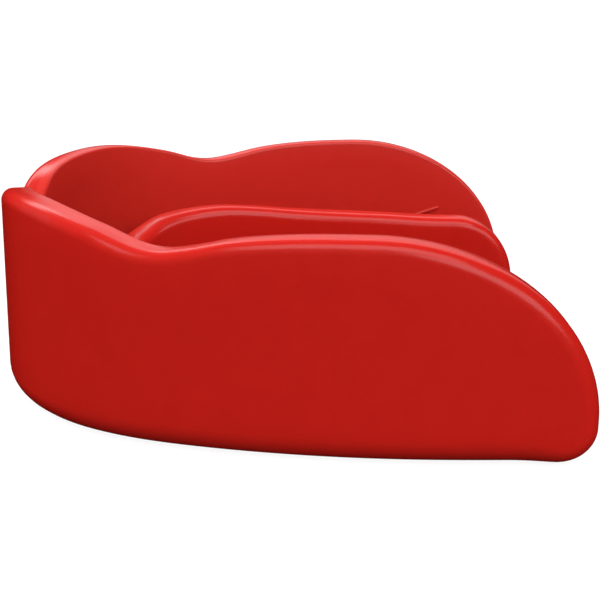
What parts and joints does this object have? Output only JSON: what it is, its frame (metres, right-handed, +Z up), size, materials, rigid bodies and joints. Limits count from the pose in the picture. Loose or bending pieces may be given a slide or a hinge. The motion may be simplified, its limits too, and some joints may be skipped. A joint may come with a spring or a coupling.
{
  "type": "mouthguard",
  "caption": "Horseshoe-shaped sports mouthguard with a tall wavy outer wall, a lower inner wall and an open tooth channel on a flat base.",
  "frame": {"origin": "centre of the outline, on the flat base that faces the lower teeth", "axes": "+Z up towards the upper gum, -Y towards the lips, +X towards the wearer's left"},
  "size_m": [0.0618, 0.0606, 0.0223],
  "materials": {
    "shell_rubber": "satin moulded",
    "liner_rubber": "satin moulded, slightly softer"
  },
  "bodies": {
    "root": {"outer_shell": "shell_rubber", "fit_liner": "liner_rubber"}
  },
  "joints": []
}
